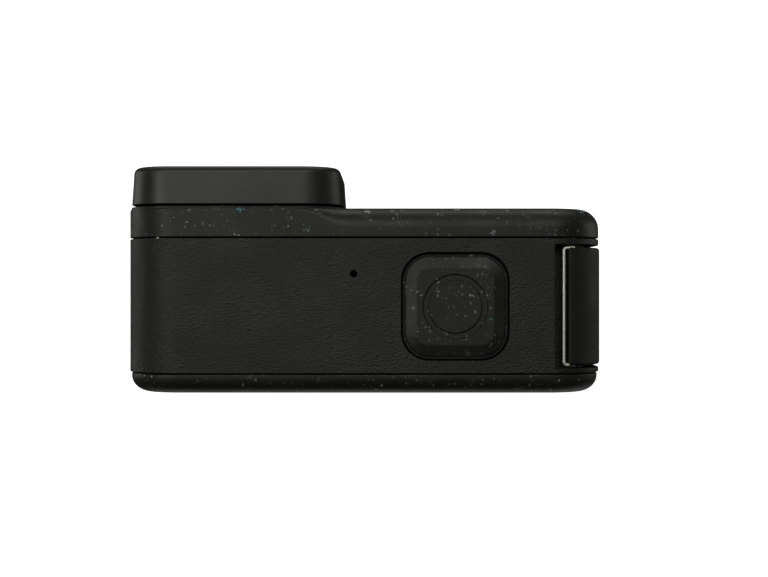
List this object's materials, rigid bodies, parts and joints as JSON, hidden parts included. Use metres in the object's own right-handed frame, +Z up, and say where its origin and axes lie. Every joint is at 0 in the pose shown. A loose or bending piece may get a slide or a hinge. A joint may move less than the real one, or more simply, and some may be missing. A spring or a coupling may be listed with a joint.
{
  "type": "action camera",
  "caption": "Compact waterproof action camera with a square removable lens cover, two screens, a top shutter button, a hinged battery door and folding mount fingers.",
  "frame": {"origin": "middle of the base, on the surface that the camera stands on", "axes": "+X to the viewer's right when facing the lens (lens side), -Y towards the front (lens), +Z up"},
  "size_m": [0.0718, 0.034, 0.0508],
  "materials": {
    "speckled_plastic": "dark moulded plastic with fine pale and blue flecks",
    "grained_plastic": "black plastic with a fine leather-like grain",
    "satin_plastic": "smooth satin black plastic",
    "inner_plastic": "plain dark moulded plastic",
    "rubber": "soft-touch black rubber",
    "seal": "silicone seal",
    "screen_glass": "gloss cover glass over a dark screen",
    "lens_glass": "coated optical glass",
    "steel": "polished stainless steel",
    "aluminium": "die-cast and milled aluminium",
    "brass": "gold-plated contacts",
    "board": "circuit board with solder mask",
    "chip": "moulded black package",
    "battery": "battery case with a satin film",
    "light": "clear light guide"
  },
  "bodies": {
    "body": {"battery": "battery", "battery_bay": "inner_plastic", "battery_contacts": "brass", "card_slot": "steel", "chassis_screw_1": "steel", "chassis_screw_2": "steel", "chassis_screw_3": "steel", "chassis_screw_4": "steel", "display_frame": "aluminium", "finger_left_back_pin": "steel", "finger_left_front_pin": "steel", "finger_right_back_pin": "steel", "finger_right_front_pin": "steel", "front_chassis": "aluminium", "front_display": "inner_plastic", "front_microphone": "aluminium", "front_screen_glass": "screen_glass", "front_shell": "speckled_plastic", "front_status_light": "light", "image_sensor": "chip", "lens_barrel": "inner_plastic", "lens_bayonet_ring": "inner_plastic", "lens_element_front": "lens_glass", "lens_element_middle": "lens_glass", "lens_element_rear": "lens_glass", "main_board": "board", "main_housing": "grained_plastic", "memory_card": "chip", "microphone_mesh": "steel", "mode_seal": "seal", "mode_switch": "steel", "processor": "chip", "rear_display": "inner_plastic", "rear_screen_glass": "screen_glass", "rear_shell": "speckled_plastic", "rear_status_light": "light", "sensor_board": "board", "shutter_seal": "seal", "shutter_switch": "steel", "speaker": "inner_plastic", "top_microphone": "aluminium", "tripod_insert": "steel", "usb_port": "steel"},
    "lens_cover": {"lens_cover_frame": "satin_plastic", "lens_cover_glass": "lens_glass", "lens_cover_seal": "rubber"},
    "door": {"door_panel": "rubber", "door_plug": "inner_plastic", "door_gasket": "seal", "door_hinge_wire": "steel"},
    "latch": {"door_latch": "satin_plastic", "latch_spring": "steel"},
    "shutter_button": {"shutter_button": "speckled_plastic"},
    "mode_button": {"mode_button": "rubber"},
    "left_finger": {"finger_left": "satin_plastic"},
    "right_finger": {"finger_right": "satin_plastic"}
  },
  "joints": [
    {"name": "lens_cover_twist", "type": "hinge", "parent": "body", "child": "lens_cover", "pos_m": [0.01926, -0.01125, 0.034], "axis": [0, -1, 0], "range_deg": [0, 45]},
    {"name": "door_hinge", "type": "hinge", "parent": "body", "child": "door", "pos_m": [-0.02975, 0.00395, 0.0496], "axis": [0, 1, 0], "range_deg": [0, 110]},
    {"name": "latch_slide", "type": "slide", "parent": "door", "child": "latch", "axis": [0, 0, 1], "range_m": [0, 0.0013], "stiffness_N_per_m": 300, "deforming": ["latch_spring"]},
    {"name": "shutter_press", "type": "slide", "parent": "body", "child": "shutter_button", "axis": [0, 0, -1], "range_m": [0, 0.0005], "stiffness_N_per_m": 1200},
    {"name": "mode_press", "type": "slide", "parent": "body", "child": "mode_button", "axis": [-1, 0, 0], "range_m": [0, 0.0004], "stiffness_N_per_m": 1200},
    {"name": "left_finger_fold", "type": "hinge", "parent": "body", "child": "left_finger", "pos_m": [-0.003, 0.00385, 0.00195], "axis": [0, -1, 0], "range_deg": [0, 90]},
    {"name": "right_finger_fold", "type": "hinge", "parent": "body", "child": "right_finger", "pos_m": [0.003, 0.00385, 0.00195], "axis": [0, 1, 0], "range_deg": [0, 90]}
  ]
}
